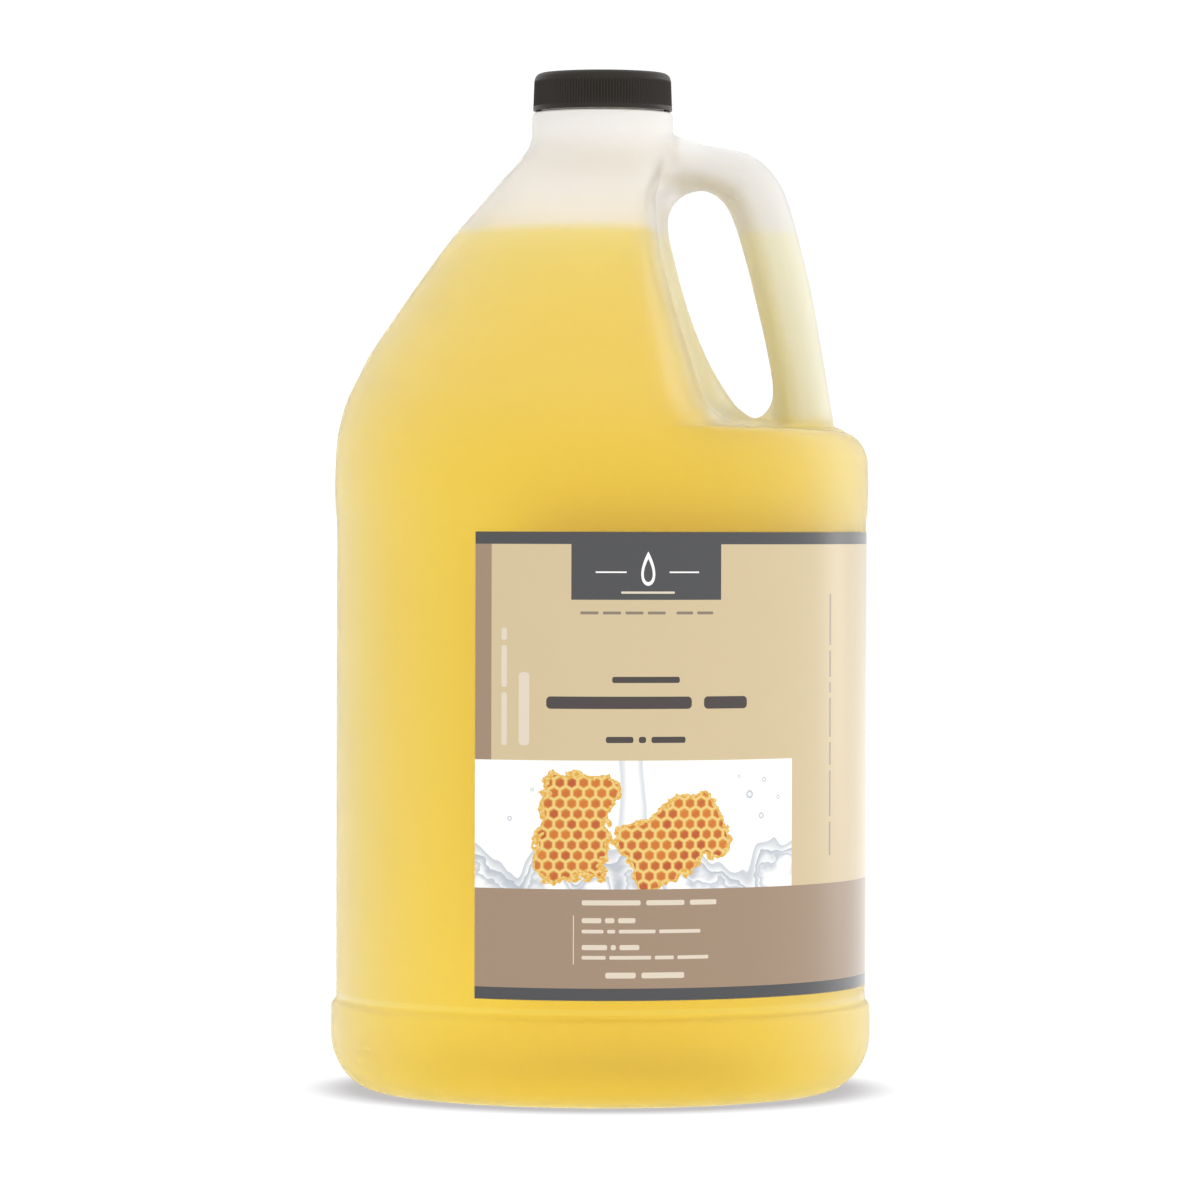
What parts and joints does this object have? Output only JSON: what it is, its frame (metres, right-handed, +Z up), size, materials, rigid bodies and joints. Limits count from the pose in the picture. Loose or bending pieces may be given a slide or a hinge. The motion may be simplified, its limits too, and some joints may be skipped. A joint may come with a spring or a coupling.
{
  "type": "gallon oil jug with screw cap",
  "caption": "Round one-gallon jug of massage oil with a hollow side handle, wrap label and ribbed black screw cap that unscrews.",
  "frame": {"origin": "centre of the base, on the bottle's axis, at the level that it stands on", "axes": "+Z up the bottle's axis to the cap, +X towards the handle, -Y towards the front of the label"},
  "size_m": [0.1544, 0.1544, 0.2907],
  "materials": {
    "jug": "natural milky HDPE, satin, translucent",
    "oil": "clear yellow oil",
    "label": "printed film, satin",
    "cap": "black, satin, finely ribbed",
    "liner": "white foam"
  },
  "bodies": {
    "bottle": {"jug": "jug", "oil_fill": "oil", "label": "label"},
    "liner": {"cap_liner": "liner"},
    "cap": {"cap_shell": "cap"}
  },
  "joints": [
    {"name": "cap_rise", "type": "slide", "parent": "bottle", "child": "liner", "axis": [0, 0, 1], "range_m": [0, 0.00848]},
    {"name": "cap_turn", "type": "hinge", "parent": "liner", "child": "cap", "pos_m": [0, 0, 0.2799], "axis": [0, 0, 1], "range_deg": [0, 720]}
  ],
  "couplings": [
    {"joint": "cap_rise", "follows": "cap_turn", "m_per_rad": 0.00067376}
  ]
}
